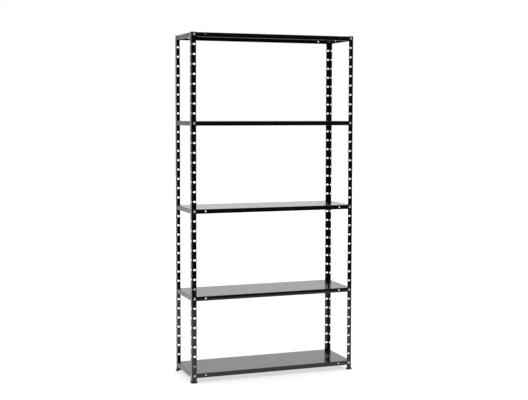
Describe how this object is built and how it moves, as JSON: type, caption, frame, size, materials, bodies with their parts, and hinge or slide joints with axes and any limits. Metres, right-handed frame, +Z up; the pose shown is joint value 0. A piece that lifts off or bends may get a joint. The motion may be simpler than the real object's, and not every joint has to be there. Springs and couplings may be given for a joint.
{
  "type": "steel shelving unit",
  "caption": "Free-standing open steel shelving: L-section posts with rows of slots, folded pan shelves bolted inside the corners, and flared plastic feet.",
  "frame": {"origin": "on the floor, at the middle of the four feet", "axes": "+Z up, +X along the width to the right as seen from the front, -Y out of the front"},
  "size_m": [0.9064, 0.3064, 1.8],
  "materials": {
    "black_paint": "glossy black paint on cold-rolled sheet steel",
    "black_plastic": "satin black moulded polypropylene",
    "zinc_plate": "bright zinc-plated steel"
  },
  "bodies": {
    "root": {"post_front_left": "black_paint", "post_front_right": "black_paint", "post_back_left": "black_paint", "post_back_right": "black_paint", "foot_front_left": "black_plastic", "foot_front_right": "black_plastic", "foot_back_left": "black_plastic", "foot_back_right": "black_plastic", "bottom_shelf": "black_paint", "second_shelf": "black_paint", "middle_shelf": "black_paint", "fourth_shelf": "black_paint", "top_shelf": "black_paint", "bolts_bottom_shelf_front_left": "zinc_plate", "bolts_bottom_shelf_front_right": "zinc_plate", "bolts_bottom_shelf_back_left": "zinc_plate", "bolts_bottom_shelf_back_right": "zinc_plate", "bolts_second_shelf_front_left": "zinc_plate", "bolts_second_shelf_front_right": "zinc_plate", "bolts_second_shelf_back_left": "zinc_plate", "bolts_second_shelf_back_right": "zinc_plate", "bolts_middle_shelf_front_left": "zinc_plate", "bolts_middle_shelf_front_right": "zinc_plate", "bolts_middle_shelf_back_left": "zinc_plate", "bolts_middle_shelf_back_right": "zinc_plate", "bolts_fourth_shelf_front_left": "zinc_plate", "bolts_fourth_shelf_front_right": "zinc_plate", "bolts_fourth_shelf_back_left": "zinc_plate", "bolts_fourth_shelf_back_right": "zinc_plate", "bolts_top_shelf_front_left": "zinc_plate", "bolts_top_shelf_front_right": "zinc_plate", "bolts_top_shelf_back_left": "zinc_plate", "bolts_top_shelf_back_right": "zinc_plate", "nuts_bottom_shelf_front_left": "zinc_plate", "nuts_bottom_shelf_front_right": "zinc_plate", "nuts_bottom_shelf_back_left": "zinc_plate", "nuts_bottom_shelf_back_right": "zinc_plate", "nuts_second_shelf_front_left": "zinc_plate", "nuts_second_shelf_front_right": "zinc_plate", "nuts_second_shelf_back_left": "zinc_plate", "nuts_second_shelf_back_right": "zinc_plate", "nuts_middle_shelf_front_left": "zinc_plate", "nuts_middle_shelf_front_right": "zinc_plate", "nuts_middle_shelf_back_left": "zinc_plate", "nuts_middle_shelf_back_right": "zinc_plate", "nuts_fourth_shelf_front_left": "zinc_plate", "nuts_fourth_shelf_front_right": "zinc_plate", "nuts_fourth_shelf_back_left": "zinc_plate", "nuts_fourth_shelf_back_right": "zinc_plate", "nuts_top_shelf_front_left": "zinc_plate", "nuts_top_shelf_front_right": "zinc_plate", "nuts_top_shelf_back_left": "zinc_plate", "nuts_top_shelf_back_right": "zinc_plate"}
  },
  "joints": []
}
